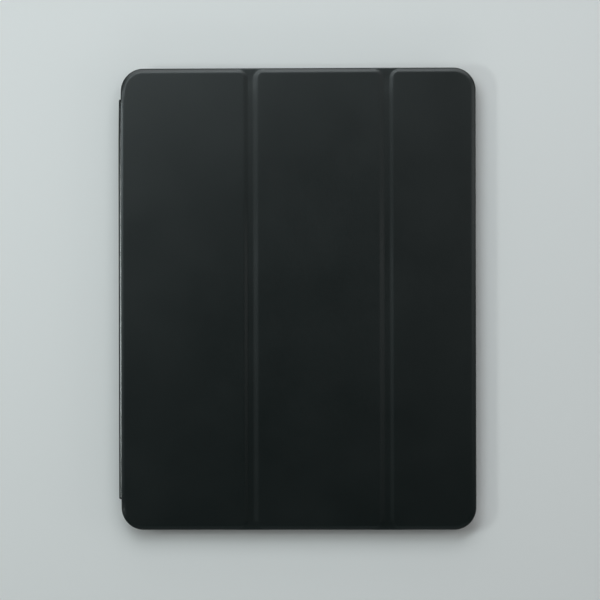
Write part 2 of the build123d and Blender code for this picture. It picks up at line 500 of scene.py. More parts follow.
@dataclass(frozen=True)
class SmoothLeather:
    """Charcoal synthetic leather with a fine pebble and a satin topcoat.

    A noise is given by its lumps in a metre, the number of its finer octaves and their strength, and a
    relief by its depth and how much of it shows. The other finishes say it the same way.
    """

    deep: Triple = (0.0010, 0.0034, 0.0032)
    pale: Triple = (0.0022, 0.0050, 0.0047)
    # Paler tone where the edges rub; it also paints part of their highlight.
    rubbed_and_highlight: Triple = (0.0120, 0.0160, 0.0160)
    tones: Triple = (26.0, 3.0, 0.5)
    scuffs: Triple = (900.0, 4.0, 0.65)
    creases: Triple = (420.0, 3.0, 0.6)
    crease_relief: Pair = (0.0525, 0.25)
    pebbles: Pair = (1500.0, 0.35)  # cells in a metre and how much they run together
    pebble_relief: Pair = (0.035, 0.35)
    rub_and_highlight: Pair = (0.35, 0.9)  # how much a rubbed edge pales, which also paints part of its highlight, and what the scuffs add
    roughness: float = 0.325
    uneven: Pair = (0.08, 0.05)  # how much the tones and the pebbles change that
    polish: float = 0.10  # how much smoother the leather is where hands rub it most
    topcoat: Pair = (0.7, 0.22)  # how much of a clear coat shows there, and its roughness
    specular: float = 0.45

    def material(self, name: str) -> bpy.types.Material:
        """Mixes two tones by slow noise, pales the rubbed edges, which also paints part of their highlight,
        and raises a pebble grain.

        Args:
            name: Name of the material.

        Returns:
            The material.
        """
        graph = Graph.material(name)
        worn_and_lit = graph.worn_and_lit()
        tone, grain = graph.noise(*self.tones), 1.0 - graph.cells(*self.pebbles)
        # Where the leather rubs it pales, and this paling also paints part of the edge highlights.
        rub_and_highlight = (worn_and_lit * (self.rub_and_highlight[0] + graph.noise(*self.scuffs) * self.rub_and_highlight[1])).clipped()
        unevenness = (tone - 0.5) * self.uneven[0] + (grain - 0.5) * self.uneven[1]
        soft = graph.bumped(graph.noise(*self.creases), *self.crease_relief)
        polished = worn_and_lit * worn_and_lit
        return graph.surface(
            {
                "Base Color": graph.mixed(rub_and_highlight, graph.mixed(tone, self.deep, self.pale), self.rubbed_and_highlight),
                "Roughness": self.roughness + unevenness - polished * self.polish,
                "Normal": graph.bumped(grain, *self.pebble_relief, soft),
                "Specular IOR Level": self.specular,
                "Coat Weight": polished * self.topcoat[0],
                "Coat Roughness": self.topcoat[1],
            }
        )


@dataclass(frozen=True)
class BrushedMicrofibre:
    """Dark grey microfibre lining with a short nap that lies in soft patches."""

    deep: Triple = (0.040, 0.044, 0.047)
    pale: Triple = (0.075, 0.081, 0.086)
    patches: Triple = (55.0, 3.0, 0.6)
    fibres: Triple = (2600.0, 4.0, 0.7)
    nap: Triple = (1.0, 0.45, 1.0)  # the fibres lie along Y
    paler: Triple = (0.55, 0.6, 0.08)  # how much patches and fibres pale it, less this last
    roughness: float = 0.86
    uneven: float = 0.15  # how much the fibres change that
    relief: Pair = (0.06, 0.5)
    sheen: Pair = (0.35, 0.45)  # weight and roughness

    def material(self, name: str) -> bpy.types.Material:
        """Mixes two greys by nap patches and fibre noise, over a fibrous bump.

        Args:
            name: Name of the material.

        Returns:
            The material.
        """
        graph = Graph.material(name)
        patches, fibre = graph.noise(*self.patches), graph.noise(*self.fibres, graph.stretched(self.nap))
        share = (patches * self.paler[0] + fibre * self.paler[1] - self.paler[2]).clipped()
        return graph.surface(
            {
                "Base Color": graph.mixed(share, self.deep, self.pale),
                "Roughness": self.roughness + (fibre - 0.5) * self.uneven,
                "Normal": graph.bumped(fibre, *self.relief),
                "Sheen Weight": self.sheen[0],
                "Sheen Roughness": self.sheen[1],
            }
        )


@dataclass(frozen=True)
class MouldedTray:
    """Matt black moulded elastomer with a fine spark-eroded texture."""

    deep: Triple = (0.0120, 0.0130, 0.0140)
    pale: Triple = (0.0190, 0.0205, 0.0220)
    flow: Triple = (18.0, 2.0, 0.5)
    texture: Triple = (3800.0, 3.0, 0.6)
    roughness: float = 0.56
    uneven: Pair = (0.08, 0.10)  # how much the flow and the texture change that
    relief: Pair = (0.02, 0.3)

    def material(self, name: str) -> bpy.types.Material:
        """Mixes two blacks by slow noise, over a fine mould texture.

        Args:
            name: Name of the material.

        Returns:
            The material.
        """
        graph = Graph.material(name)
        flow, texture = graph.noise(*self.flow), graph.noise(*self.texture)
        unevenness = (flow - 0.5) * self.uneven[0] + (texture - 0.5) * self.uneven[1]
        return graph.surface(
            {
                "Base Color": graph.mixed(flow, self.deep, self.pale),
                "Roughness": self.roughness + unevenness,
                "Normal": graph.bumped(texture, *self.relief),
            }
        )


@dataclass(frozen=True)
class Grained:
    """A hard finish whose colour, gloss and relief all follow one grain."""

    deep: Triple
    pale: Triple
    grain: Triple
    stretch: Triple
    rough: Pair  # roughness at the grain's low end, and what its high end adds
    relief: Pair
    metallic: float = 1.0

    def material(self, name: str) -> bpy.types.Material:
        """Mixes two tones by stretched noise, which also sets the roughness and the relief.

        Args:
            name: Name of the material.

        Returns:
            The material.
        """
        graph = Graph.material(name)
        grain = graph.noise(*self.grain, graph.stretched(self.stretch))
        return graph.surface(
            {
                "Base Color": graph.mixed(grain, self.deep, self.pale),
                "Metallic": self.metallic,
                "Roughness": self.rough[0] + grain * self.rough[1],
                "Normal": graph.bumped(grain, *self.relief),
            }
        )


@dataclass(frozen=True)
class FibreBoard(Grained):
    """Stiff grey board with short fibres pressed into it."""

    deep: Triple = (0.085, 0.083, 0.078)
    pale: Triple = (0.170, 0.166, 0.158)
    grain: Triple = (1100.0, 5.0, 0.7)
    stretch: Triple = (1.0, 0.3, 1.0)
    rough: Pair = (0.7, 0.2)
    relief: Pair = (0.03, 0.4)
    metallic: float = 0.0


@dataclass(frozen=True)
class PlatedNickel(Grained):
    """Bright nickel plating on a sintered magnet, with a faint orange-peel."""

    deep: Triple = (0.42, 0.41, 0.39)
    pale: Triple = (0.60, 0.58, 0.54)
    grain: Triple = (900.0, 3.0, 0.6)
    stretch: Triple = (1.0, 1.0, 1.0)
    rough: Pair = (0.24, 0.14)
    relief: Pair = (0.01, 0.2)


@dataclass(frozen=True)
class RolledSteel(Grained):
    """Cold-rolled strip steel with marks along its length."""

    deep: Triple = (0.33, 0.33, 0.34)
    pale: Triple = (0.52, 0.52, 0.53)
    grain: Triple = (2400.0, 4.0, 0.65)
    stretch: Triple = (1.0, 0.03, 1.0)
    rough: Pair = (0.3, 0.2)
    relief: Pair = (0.01, 0.25)


class Slot(Enum):
    """The record's material slots."""

    LEATHER = "leather"
    LINING = "lining"
    BOARD = "board"
    TRAY = "tray"
    MAGNET = "magnet"
    STEEL = "steel"


class Workshop:
    """Finishes pieces: gives each its material and its slot."""

    def __init__(self) -> None:
        """Makes one material for each slot."""
        finishes = {
            Slot.LEATHER: SmoothLeather(),
            Slot.LINING: BrushedMicrofibre(),
            Slot.BOARD: FibreBoard(),
            Slot.TRAY: MouldedTray(),
            Slot.MAGNET: PlatedNickel(),
            Slot.STEEL: RolledSteel(),
        }
        self.materials = {slot: finish.material(slot.value) for slot, finish in finishes.items()}

    def coat(self, piece: bpy.types.Object, slot: Slot) -> None:
        """Gives a piece its slot's material alone.

        Args:
            piece: A new piece or a CAD node.
            slot: Its material slot.
        """
        piece.data.materials.clear()
        piece.data.materials.append(self.materials[slot])
        log.info("%s: %d faces, %s", piece.name, len(piece.data.polygons), slot.value)

    def dress(self, piece: bpy.types.Object, slot: Slot, replaced: str) -> bpy.types.Object:
        """Gives a new piece its material and slot, and hides the node that it stands for.

        Args:
            piece: The new piece.
            slot: Its material slot.
            replaced: The CAD node that it replaces.

        Returns:
            The piece.
        """
        self.coat(piece, slot)
        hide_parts(replaced)
        return piece

    def dress_pair(
        self, leather: bpy.types.Object, lining: bpy.types.Object, stem: str
    ) -> tuple[bpy.types.Object, bpy.types.Object]:
        """Dresses a leather and its lining.

        Args:
            leather: The leather.
            lining: Its lining.
            stem: What the names of the two nodes that they replace begin with.

        Returns:
            Both pieces.
        """
        outer = self.dress(leather, Slot.LEATHER, f"{stem}_skin")
        return outer, self.dress(lining, Slot.LINING, f"{stem}_lining")


# ------------------------------------------------------------------ the folding cover


class Side(Enum):
    """Which side of a panel is a free, rounded edge of the cover."""

    NONE = "none"
    LEFT = "left"
    RIGHT = "right"


@dataclass
class CoverForm:
    """The closed cover's outline and the height of its leather."""

    x_outer: float  # the spine's outer face
    x_left: float
    x_right: float
    half_length: float
    z_under: float  # underside of the lining and of the turned-in hem
    z_board: float  # underside of the boards and of the folds' leather
    z_skin: float  # inside of the leather over the boards
    z_front: float
    folds: Pair
    half_crease: float  # half a fold's width
    spine_half: float  # half the spine's length
    leather: float  # its thickness
    turn_in: float  # width of the hem
    corner: float = 13.8  # radius of the cover's corners
    bevel_width: float = 2.9  # the leather slopes down to the free edges over this width
    bevel_ease: float = 1.1  # and eases into that slope over this one
    bevel_slope: float = 0.25
    edge_roll: Pair = (0.6, 0.5)  # width and depth of its roll over the free edges
    floor_half: float = 1.1  # half the width of a fold's flat floor
    curl_reach: float = 4.5  # where the leather has risen to the inner and outer panels
    wide_reach: float = 5.2  # where it has risen to the middle panel
    groove_depth: float = 0.37  # how far a fold's floor lies under the panels
    floor_roll: Pair = (0.5, 0.5)  # width and depth of a fold's roll over the cover's edge
    flare: float = 5.5  # how much wider a fold is at the cover's edge
    flare_length: float = 6.0
    fuller: float = 0.5  # share by which the folds are shallower in the cover's upper half
    fuller_from: Pair = (15.0, 75.0)  # heights along Y between which they rise
    fuller_to: Pair = (124.0, 136.0)  # and between which they fall again
    spine_roll: Pair = (3.3, 1.3)  # half axes of the ellipse that rolls into the spine
    run_out: Pair = (1.5, 1.0)  # it stops over this much of the spine's end and this much beyond it
    rim_wear_and_highlight: Pair = (0.5, 1.2)  # how much the free edges rub and get a painted highlight, and how far in most
    fold_wear_and_highlight: Pair = (0.2, 0.15)  # how much the folds rub and get a painted highlight, and at which share of the way down most
    spine_wear_and_highlight: Pair = (2.7, 0.7)  # how far in the spine's roll rubs and gets a painted highlight, and over which width that fades
    corner_steps: int = 26
    middle_rows: int = 54
    close: tuple[float, ...] = (0.0, 0.04, 0.12, 0.24, 0.4, 0.6, 0.9, 1.3, 1.75, *np.arange(2.2, 8.5, 0.5))
    close_share: float = 2.2  # a strip is at least this many times as wide as its close columns

    @classmethod
    def from_frame(cls) -> "CoverForm":
        """Reads the cover's sizes from the CAD nodes.

        Returns:
            The form.
        """
        inner, middle, outer = (box_mm(f"{name}_panel_skin") for name in ("inner", "middle", "outer"))
        board = box_mm("inner_panel_board")
        spine = box_mm("spine_skin")
        return cls(
            x_outer=spine[0][0],
            x_left=inner[0][0],
            x_right=outer[1][0],
            half_length=middle[1][1],
            z_under=middle[0][2],
            z_board=board[0][2],
            z_skin=board[1][2],
            z_front=middle[1][2],
            folds=((inner[1][0] + middle[0][0]) / 2, (middle[1][0] + outer[0][0]) / 2),
            half_crease=(middle[0][0] - inner[1][0]) / 2,
            spine_half=spine[1][1],
            leather=middle[1][2] - board[1][2],
            turn_in=round(middle[1][1] - box_mm("middle_panel_lining")[1][1], 2),
        )

    def edge_distance(self, x: Array, y: Array) -> Array:
        """Distance in from the cover's rolled edge.

        It is the distance inside the rounded outline. Along the spine the leather runs on over the edge,
        so there only the distance from the top or bottom edge counts.

        Args:
            x: Places along X.
            y: Places along Y.

        Returns:
            Distances, 0 on the edge.
        """
        middle = ((self.x_left + self.x_right) / 2, 0.0)
        half = ((self.x_right - self.x_left) / 2, self.half_length)
        distance = inside_rounded(x, y, middle, half, self.corner)
        return distance + self.runs_on(x, y) * (self.half_length - np.abs(y) - distance)

    def runs_on(self, x: Array, y: Array) -> Array:
        """1 where the leather runs on from the panel into the spine's crease, 0 beyond the spine's ends."""
        ended = ramp(np.abs(y), self.spine_half - self.run_out[0], self.spine_half + self.run_out[1])
        return (x < (self.x_left + self.x_right) / 2) * (1.0 - ended)

    def spine_fall(self, x: Array) -> Array:
        """How far the leather has fallen from the front at X, along the quarter ellipse into the spine."""
        return fallen(x - self.x_outer, *self.spine_roll)

    def spine_inset(self, z: Array) -> Array:
        """How far the same ellipse stands in from the spine's outer face at a height."""
        return fallen(self.z_front - z, *self.spine_roll[::-1])

    def groove(self, x: Array, distance: Array) -> Array:
        """Share of the way down into a fold: 0 on a panel, rising smoothly to 1 at the fold's floor.

        Towards the cover's edge the fold widens along a parabola, which rounds the panels' corners.

        Args:
            x: Places along X.
            distance: How far each place is from the cover's rolled edge.

        Returns:
            The shares.
        """
        first, second = self.folds
        wider = self.flare * np.clip(1.0 - distance / self.flare_length, 0.0, 1.0) ** 2
        offset = np.minimum(np.abs(x - first), np.abs(x - second)) - wider
        reach = np.where((x > first) & (x < second), self.wide_reach, self.curl_reach)
        return ramp(reach - offset, 0.0, reach - self.floor_half)

    def bevel(self, distance: Array) -> Array:
        """How far a panel has fallen near the free edge.

        A parabola eases into a straight slope, and a quarter ellipse ends it at the edge.

        Args:
            distance: How far each place is from the cover's rolled edge.

        Returns:
            The falls.
        """
        inside = np.clip(self.bevel_width - distance, 0.0, None)
        eased = np.minimum(inside, self.bevel_ease)
        slope = self.bevel_slope * (eased**2 / (2 * self.bevel_ease) + inside - eased)
        return slope + fallen(distance, *self.edge_roll)

    def floor(self, y: Array, distance: Array) -> Array:
        """How deep a fold's floor lies: fuller in the cover's upper half, and rolled over at the edge."""
        full = ramp(y, *self.fuller_from) * (1.0 - ramp(y, *self.fuller_to))
        return self.groove_depth * (1.0 - self.fuller * full) + fallen(distance, *self.floor_roll)

    def face(self, x: Array, y: Array) -> Array:
        """The leather's face.

        Near the free edge a panel is bevelled and rolled. A fold's floor is flat and only rolls over the
        edge. The fold's share mixes the two, and along the spine the leather falls along the spine's
        ellipse too.

        Args:
            x: Places along X.
            y: Places along Y.

        Returns:
            Points.
        """
        distance = self.edge_distance(x, y)
        panel = self.bevel(distance)
        z = self.z_front - panel - (self.floor(y, distance) - panel) * self.groove(x, distance)
        return np.stack((x, y, z - self.spine_fall(x) * self.runs_on(x, y)), axis=-1)

    def wear_and_highlight(self, x: Array, y: Array) -> Array:
        """How much the face rubs and gets a painted highlight: most where it rolls into the spine, less at
        the free edges and folds.

        Args:
            x: Places along X.
            y: Places along Y.

        Returns:
            Numbers from 0 to 1.
        """
        distance = self.edge_distance(x, y)
        (rim, rim_in), (curl, curl_share), (reach, fade) = self.rim_wear_and_highlight, self.fold_wear_and_highlight, self.spine_wear_and_highlight
        free = rim * bell(distance, rim_in, rim_in)
        free += curl * bell(self.groove(x, distance), curl_share, curl_share)
        spine = self.runs_on(x, y) * bell(np.maximum(x - self.x_outer - reach, 0.0), 0.0, fade)
        return np.clip(np.maximum(free, spine), 0.0, 1.0)

    def rows(self, inset: float) -> tuple[Array, Array]:
        """Rows across the cover, close together where its corners turn.

        In a corner the rows stand at equal angles round its centre, so they crowd towards the edge.

        Args:
            inset: Distance that the outline is drawn in.

        Returns:
            Y of each row, and how far the outline's rounded side stands in from the straight one there.
        """
        radius = self.corner - inset
        angle = np.linspace(0.0, RIGHT_ANGLE, self.corner_steps + 1)
        centre = self.half_length - self.corner
        turned = centre + radius * np.sin(angle)
        straight = np.linspace(-centre, centre, self.middle_rows + 1)[1:-1]
        drawn = radius * (1.0 - np.cos(angle))
        y = np.concatenate((-turned[::-1], straight, turned))
        return y, np.concatenate((drawn[::-1], np.zeros_like(straight), drawn))

    def grid(self, x0: float, x1: float, free: Side, inset: float, columns: int) -> tuple[Array, Array]:
        """A grid over one strip of the cover, whose columns crowd towards its two sides.

        Args:
            x0: Left side of the strip.
            x1: Right side.
            free: Which side follows the cover's rounded corners.
            inset: Distance that the cover's outline is drawn in.
            columns: Number of columns between the crowded ones.

        Returns:
            X and Y, rows by columns.
        """
        y, drawn = self.rows(inset)
        left = (x0 + drawn * (free is Side.LEFT))[:, None]
        right = (x1 - drawn * (free is Side.RIGHT))[:, None]
        near = np.array(self.close)
        near = near * min(1.0, (x1 - x0) / (self.close_share * near[-1]))
        between = np.linspace(0.0, 1.0, columns + 2)[1:-1]
        start, end = left + near[-1], right - near[-1]
        x = np.concatenate((left + near, start + (end - start) * between, right - near[::-1]), axis=1)
        return x, np.broadcast_to(y[:, None], x.shape)

    def at_height(self, x0: float, x1: float, free: Side, inset: float, z: float, columns: int) -> Array:
        """The same grid as flat points at one height."""
        x, y = self.grid(x0, x1, free, inset, columns)
        return np.stack((x, y, np.full_like(x, z)), axis=-1)


@dataclass
class Hem:
    """Leather turned in under a free edge: a small profile carried along the cover's outline."""

    form: CoverForm
    x0: float
    x1: float
    rounding: float = 0.3  # radius under the outer edge
    halfway: float = 2.0  # how far in its flat faces have one more point
    skive: Pair = (0.35, 0.14)  # width and depth of the thinned inner edge
    round_steps: int = 5
    corner_steps: int = 18
    run_steps: int = 12
    side_steps: int = 24

    def profile(self) -> tuple[Array, Array]:
        """Cross-section: a thin strip, rounded under its outer edge and skived at its inner one.

        Returns:
            Distances in from the cover's edge, and heights, in order round the strip.
        """
        form = self.form
        turn = np.linspace(0.0, RIGHT_ANGLE, self.round_steps + 1)
        under, top, end = form.z_under, form.z_board, form.turn_in
        inner = [self.halfway, end - self.skive[0], end, end, self.halfway]
        inward = np.concatenate(([0.0], self.rounding * (1.0 - np.cos(turn)), inner))
        rounded = under + self.rounding * (1.0 - np.sin(turn))
        return inward, np.concatenate(([top], rounded, [under, under, under + self.skive[1], top, top]))

    def straight(self, end: int, steps: int) -> Array:
        """A hem along the top or the bottom edge.

        Args:
            end: 1 for the top edge and -1 for the bottom edge.
            steps: Number of stretches along it.

        Returns:
            Stations by profile points by 3.
        """
        inward, height = self.profile()
        x = np.linspace(self.x0, self.x1, steps + 1)[:, None]
        y = end * (self.form.half_length - inward)[None, :]
        return np.stack(np.broadcast_arrays(x, y, height[None, :]), axis=-1)

    def cornered(self, free: Side) -> Array:
        """A hem along three edges of an end panel, round its two corners.

        Each station stands on the outline and looks in along its normal, so a profile point lies that far
        in from it. In a corner the stations turn about the corner's centre.

        Args:
            free: Which side of the panel is the rounded one.

        Returns:
            Stations by profile points by 3.
        """
        inward, height = self.profile()
        turn = np.linspace(0.0, RIGHT_ANGLE, self.corner_steps + 1)
        width = self.x1 - self.x0 - self.form.corner
        centre = self.form.half_length - self.form.corner
        run = np.linspace(0.0, 1.0, self.run_steps + 1)[:-1]
        # Distances from the fold side along X and the outline's normal, for the lower half of the path.
        along = np.concatenate((run * width, np.full(turn.size, width)))
        lean = np.concatenate((np.zeros(run.size), turn))
        radius = self.form.corner - inward[None, :]
        x = along[:, None] + radius * np.sin(lean)[:, None]
        y = -centre - radius * np.cos(lean)[:, None]
        side = np.linspace(-centre, centre, self.side_steps + 1)[1:-1]
        x_side = np.broadcast_to(width + radius, (side.size, inward.size))
        y_side = np.broadcast_to(side[:, None], x_side.shape)
        x = np.concatenate((x, x_side, x[::-1]))
        y = np.concatenate((y, y_side, -y[::-1]))
        x = self.x1 - x if free is Side.LEFT else self.x0 + x
        return np.stack((x, y, np.broadcast_to(height[None, :], x.shape)), axis=-1)


@dataclass
class Panel:
    """One stiff panel of the cover: its leather and its lining."""

    name: str
    form: CoverForm
    x0: float
    x1: float
    free: Side
    columns: int = 20
    soften: float = 0.12  # rounding of the lining's edge
    rim_worn: float = 0.25
    hem_worn: float = 0.15
    hem_steps: int = 14

    def leather(self) -> bpy.types.Object:
        """Builds the leather over the board, and the hem that is turned in under it.

        The face is the cover's height over a grid. Its border goes straight down to the board's
        underside, in under the board's edge, and up to a flat ceiling over the board.

        Returns:
            The piece.
        """
        form = self.form
        x, y = form.grid(self.x0, self.x1, self.free, 0.0, self.columns)
        rims = [border(self.layer(inset, form.z_board)) for inset in (0.0, form.leather)]
        shells = Shells()
        ceiling = self.layer(form.leather, form.z_skin)
        shells.between(form.face(x, y), ceiling, rims, form.wear_and_highlight(x, y), self.rim_worn)
        hem = Hem(form, self.x0, self.x1)
        if self.free is Side.NONE:
            hems = [hem.straight(end, self.hem_steps) for end in (-1, 1)]
        else:
            hems = [hem.cornered(self.free)]
        for path in hems:
            shells.carried(path, self.hem_worn)
        return shells.write(f"{self.name}_panel_leather")

    def layer(self, inset: float, z: float) -> Array:
        """A flat grid over the panel, drawn in on all sides."""
        return self.form.at_height(self.x0 + inset, self.x1 - inset, self.free, inset, z, self.columns)

    def lining(self) -> bpy.types.Object:
        """Builds the lining inside the hem: a thin sheet with softened edges.

        Returns:
            The piece.
        """
        form, soft = self.form, self.soften
        low, high = box_mm(f"{self.name}_panel_lining")
        inset = form.half_length - high[1]

        def layer(drawn: float, z: float) -> Array:
            """The lining's outline, drawn in further, at one height."""
            x0, x1 = low[0] + drawn, high[0] - drawn
            return form.at_height(x0, x1, self.free, inset + drawn, z, self.columns)

        rims = [border(layer(0.0, z)) for z in (form.z_board - soft / 2, form.z_under + soft)]
        shells = Shells()
        shells.between(layer(soft / 3, form.z_board), layer(soft, form.z_under), rims)
        return shells.write(f"{self.name}_panel_microfibre")

    def build(self, workshop: Workshop) -> None:
        """Builds and dresses the panel's pieces, which all ride with it."""
        for piece in workshop.dress_pair(self.leather(), self.lining(), f"{self.name}_panel"):
            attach(piece, f"{self.name}_panel")


@dataclass
class Fold:
    """The bare leather and lining between two panels, which bends."""

    name: str
    bodies: tuple[str, str]
    form: CoverForm
    x: float
    columns: int = 6
    score: float = 0.22  # depth of the line pressed into the lining
    score_width: float = 0.5  # half width of that line, where its bell curve has fallen to 1 / e
    hem_worn: float = 0.15
    hem_steps: int = 16

    @property
    def sides(self) -> Pair:
        """Left and right side of the fold."""
        return self.x - self.form.half_crease, self.x + self.form.half_crease

    def layer(self, inset: float, z: float) -> Array:
        """A flat grid over the fold, drawn in at its two ends."""
        return self.form.at_height(*self.sides, Side.NONE, inset, z, self.columns)

    def leather(self) -> bpy.types.Object:
        """Builds the fold's leather: the cover's height over a flat underside, with a hem at each end.

        Returns:
            The piece.
        """
        x, y = self.form.grid(*self.sides, Side.NONE, 0.0, self.columns)
        shells = Shells()
        face, under = self.form.face(x, y), self.layer(0.0, self.form.z_board)
        shells.between(face, under, (), self.form.wear_and_highlight(x, y))
        for end in (-1, 1):
            shells.carried(Hem(self.form, *self.sides).straight(end, self.hem_steps), self.hem_worn)
        return shells.write(f"{self.name}_fold_leather")

    def lining(self) -> bpy.types.Object:
        """Builds the fold's lining: a flat strip whose underside dips to a pressed line, a bell curve.

        Returns:
            The piece.
        """
        inset = self.form.half_length - box_mm(f"{self.name}_crease_lining")[1][1]
        top, bottom = (self.layer(inset, z) for z in (self.form.z_board, self.form.z_under))
        bottom[..., 2] += self.score * bell(bottom[..., 0], self.x, self.score_width)
        shells = Shells()
        shells.between(top, bottom)
        return shells.write(f"{self.name}_fold_microfibre")

    def build(self, workshop: Workshop) -> None:
        """Builds and dresses the fold's pieces, and bakes their places into their meshes.

        Args:
            workshop: Dresses the pieces.
        """
        for piece in workshop.dress_pair(self.leather(), self.lining(), f"{self.name}_crease"):
            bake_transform(piece)


# ------------------------------------------------------------------ the spine


class Crease(Enum):
    """The two creases beside the spine."""

    REAR = "rear"
    FRONT = "front"


@dataclass
class Spine:
    """The leather and lining that run from the back round the side to the front."""

    form: CoverForm
    pivots: Mapping[Crease, Array]  # where each crease turns, in X and Z
    end_round: float = 1.5  # the leather's ends are rounded off over this length
    end_drop: float = 0.45
    lean: float = 0.3  # how much further in the outer face stands at the top end
    lean_length: float = 32.0
    end_play: float = 0.1  # between the stiffener's ends and the leather
    end_step: float = 0.02  # length over which the leather's inner face steps back there
    closer: Pair = (9.3, 9.4)  # heights where the flat's wide columns end and its close ones begin
    columns: tuple[int, int] = (10, 9)  # number of wide and of close columns
    flat_worn_and_lit: Pair = (0.35, 0.6)  # how much the flat rubs, and what is added at its front, where the paling paints part of the spine's highlight
    front_width: float = 1.0  # how far down from the front that reaches
    rear_worn: float = 0.5  # how much the rear crease rubs
    front_worn_and_lit: float = 0.95  # and the front crease, whose paling paints most of the spine's highlight
    rows_between: int = 60
    end_steps: int = 7
    turn_steps: int = 16

    def __post_init__(self) -> None:
        """Reads the spine's sizes from the CAD nodes."""
        skin, board, lining = (box_mm(f"spine_{name}") for name in ("skin", "board", "lining"))
        self.x_outer = skin[0][0]
        self.x_board = board[0][0]
        self.x_lining, self.x_inner = lining[0][0], lining[1][0]
        self.z_low, self.z_high = skin[0][2], skin[1][2]
        self.x_turn = box_mm("front_crease_skin")[1][0]
        self.radius = self.x_turn - self.x_outer
        self.board_half, self.half = board[1][1], skin[1][1]

    def rows(self) -> Array:
        """Places along the spine, close together at its rounded ends.

        Returns:
            Y of each row.
        """
        turn = np.linspace(0.0, RIGHT_ANGLE, self.end_steps + 1)[:-1]
        near = self.end_round * (1.0 - np.cos(turn)) - self.half
        middle = np.linspace(self.end_round - self.half, self.half - self.end_round, self.rows_between)
        return np.concatenate((near, middle, -near[::-1]))

    def end_fall(self, y: Array) -> Array:
        """How far the leather stands in at its ends: a quarter round."""
        return fallen(self.half - np.abs(y), self.end_round, self.end_drop)

    def drop(self, y: Array) -> Array:
        """How far the outer face stands in: its ends' rounding and a slow lean at the top end."""
        return self.end_fall(y) + self.lean * ramp(y, self.half - self.lean_length, self.half)

    def flat(self, leather: bool) -> bpy.types.Object:
        """A flat strip of the spine between the two creases.

        The leather's outer face follows its ends' rounding and the ellipse that rolls to the front, and
        its inner face is sunk to take the stiffener.

        Args:
            leather: Whether it is the leather, and not the lining.

        Returns:
            The piece.
        """
        y = self.rows()
        sunk = self.board_half + self.end_play
        if leather:
            y = np.sort(np.concatenate((y, [-sunk, sunk, -sunk - self.end_step, sunk + self.end_step])))
        wide = np.linspace(self.z_low, self.closer[0], self.columns[0])
        close = np.linspace(self.closer[1], self.z_high, self.columns[1])
        y, z = np.meshgrid(y, np.concatenate((wide, close)), indexing="ij")
        outer, inner = (self.x_outer, self.x_lining) if leather else (self.x_lining, self.x_inner)
        shift = np.maximum(self.drop(y), self.form.spine_inset(z)) * leather
        back = np.where(leather & (np.abs(y) < sunk + self.end_step / 2), self.x_board, inner)
        near_front = ramp(z, self.z_high - self.front_width, self.z_high)
        worn_and_lit = (self.flat_worn_and_lit[0] + self.flat_worn_and_lit[1] * near_front) * leather
        shells = Shells()
        shells.between(np.stack((outer + shift, y, z), -1), np.stack((back, y, z), -1), (), worn_and_lit)
        return shells.write("spine_leather" if leather else "spine_microfibre")

    def turned(self, crease: Crease, leather: bool, worn_and_lit: float) -> bpy.types.Object:
        """A strip that turns a quarter circle between the spine and the front or the back.

        A point stands at an angle round the corner's centre, from straight out to straight up or down,
        at the outer or the inner radius. The front crease's leather is rolled along an ellipse.

        Args:
            crease: Which crease it is.
            leather: Whether it is the leather, and not the lining.
            worn_and_lit: How much its outer face rubs, and how much it is paled as a painted highlight.

        Returns:
            The piece.
        """
        angles = np.linspace(0.0, RIGHT_ANGLE, self.turn_steps + 1)
        y, turn = np.meshgrid(self.rows(), angles, indexing="ij")
        front = crease is Crease.FRONT
        way, centre = (1.0, self.z_high) if front else (-1.0, self.z_low)
        inside = self.radius - self.form.leather
        outer, inner = (self.radius, inside) if leather else (inside, inside + self.x_lining - self.x_inner)

        def face(radius: Array) -> Array:
            """The quarter circle at one radius."""
            x, z = self.x_turn - radius * np.cos(turn), centre + way * radius * np.sin(turn)
            return np.stack((x, y, z), axis=-1)

        drop = np.maximum(self.drop(y) * np.cos(turn), self.end_fall(y)) * leather
        outside = self.rolled(y, turn, drop) if leather and front else face(outer - drop)
        shells = Shells()
        shells.between(outside, face(np.full_like(y, inner)), (), worn_and_lit)
        return shells.write(f"{crease.value}_crease_{'leather' if leather else 'microfibre'}")

    def rolled(self, y: Array, turn: Array, drop: Array) -> Array:
        """The front crease's outer face, from the spine's top end to where the panel's leather begins.

        The points stand at equal steps of the ellipse's own angle, and straight below its foot where
        that is negative. Towards the crease's ends the fall is given back at the panel's side, and the
        points draw in towards the corner's centre.

        Args:
            y: Places along the spine.
            turn: Shares of the way, as angles from 0 to a right angle.
            drop: How far each point is drawn in.

        Returns:
            The points.
        """
        form = self.form
        width, depth = form.spine_roll
        first = np.arcsin(1.0 - (form.z_front - self.z_high) / depth)
        last = np.arccos(1.0 - (self.x_turn - self.x_outer) / width)
        share = turn / RIGHT_ANGLE
        angle = first + (last - first) * share
        x = self.x_outer + width * (1.0 - np.cos(np.maximum(angle, 0.0))) + drop * np.cos(turn)
        z = form.z_front - depth * (1.0 - np.sin(angle))
        given_back = (1.0 - form.runs_on(x, y)) * form.spine_fall(self.x_turn) * share
        return np.stack((x, y, z + given_back - drop * np.sin(turn)), axis=-1)

    def bend(self, piece: bpy.types.Object, crease: Crease) -> None:
        """Bakes a turned strip's place into its mesh; an axis through its crease's pivot is worked out but
        not used.

        Args:
            piece: The strip.
            crease: Which crease it is.
        """
        reach = (self.radius - self.form.leather) / 2 * math.sqrt(0.5)
        back = np.array([-reach, -reach] if crease is Crease.FRONT else [reach, -reach])
        pivot = self.pivots[crease]
        start, end = ((x * METRES, 0.0, z * METRES) for x, z in (pivot + back, pivot - back))
        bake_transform(piece)

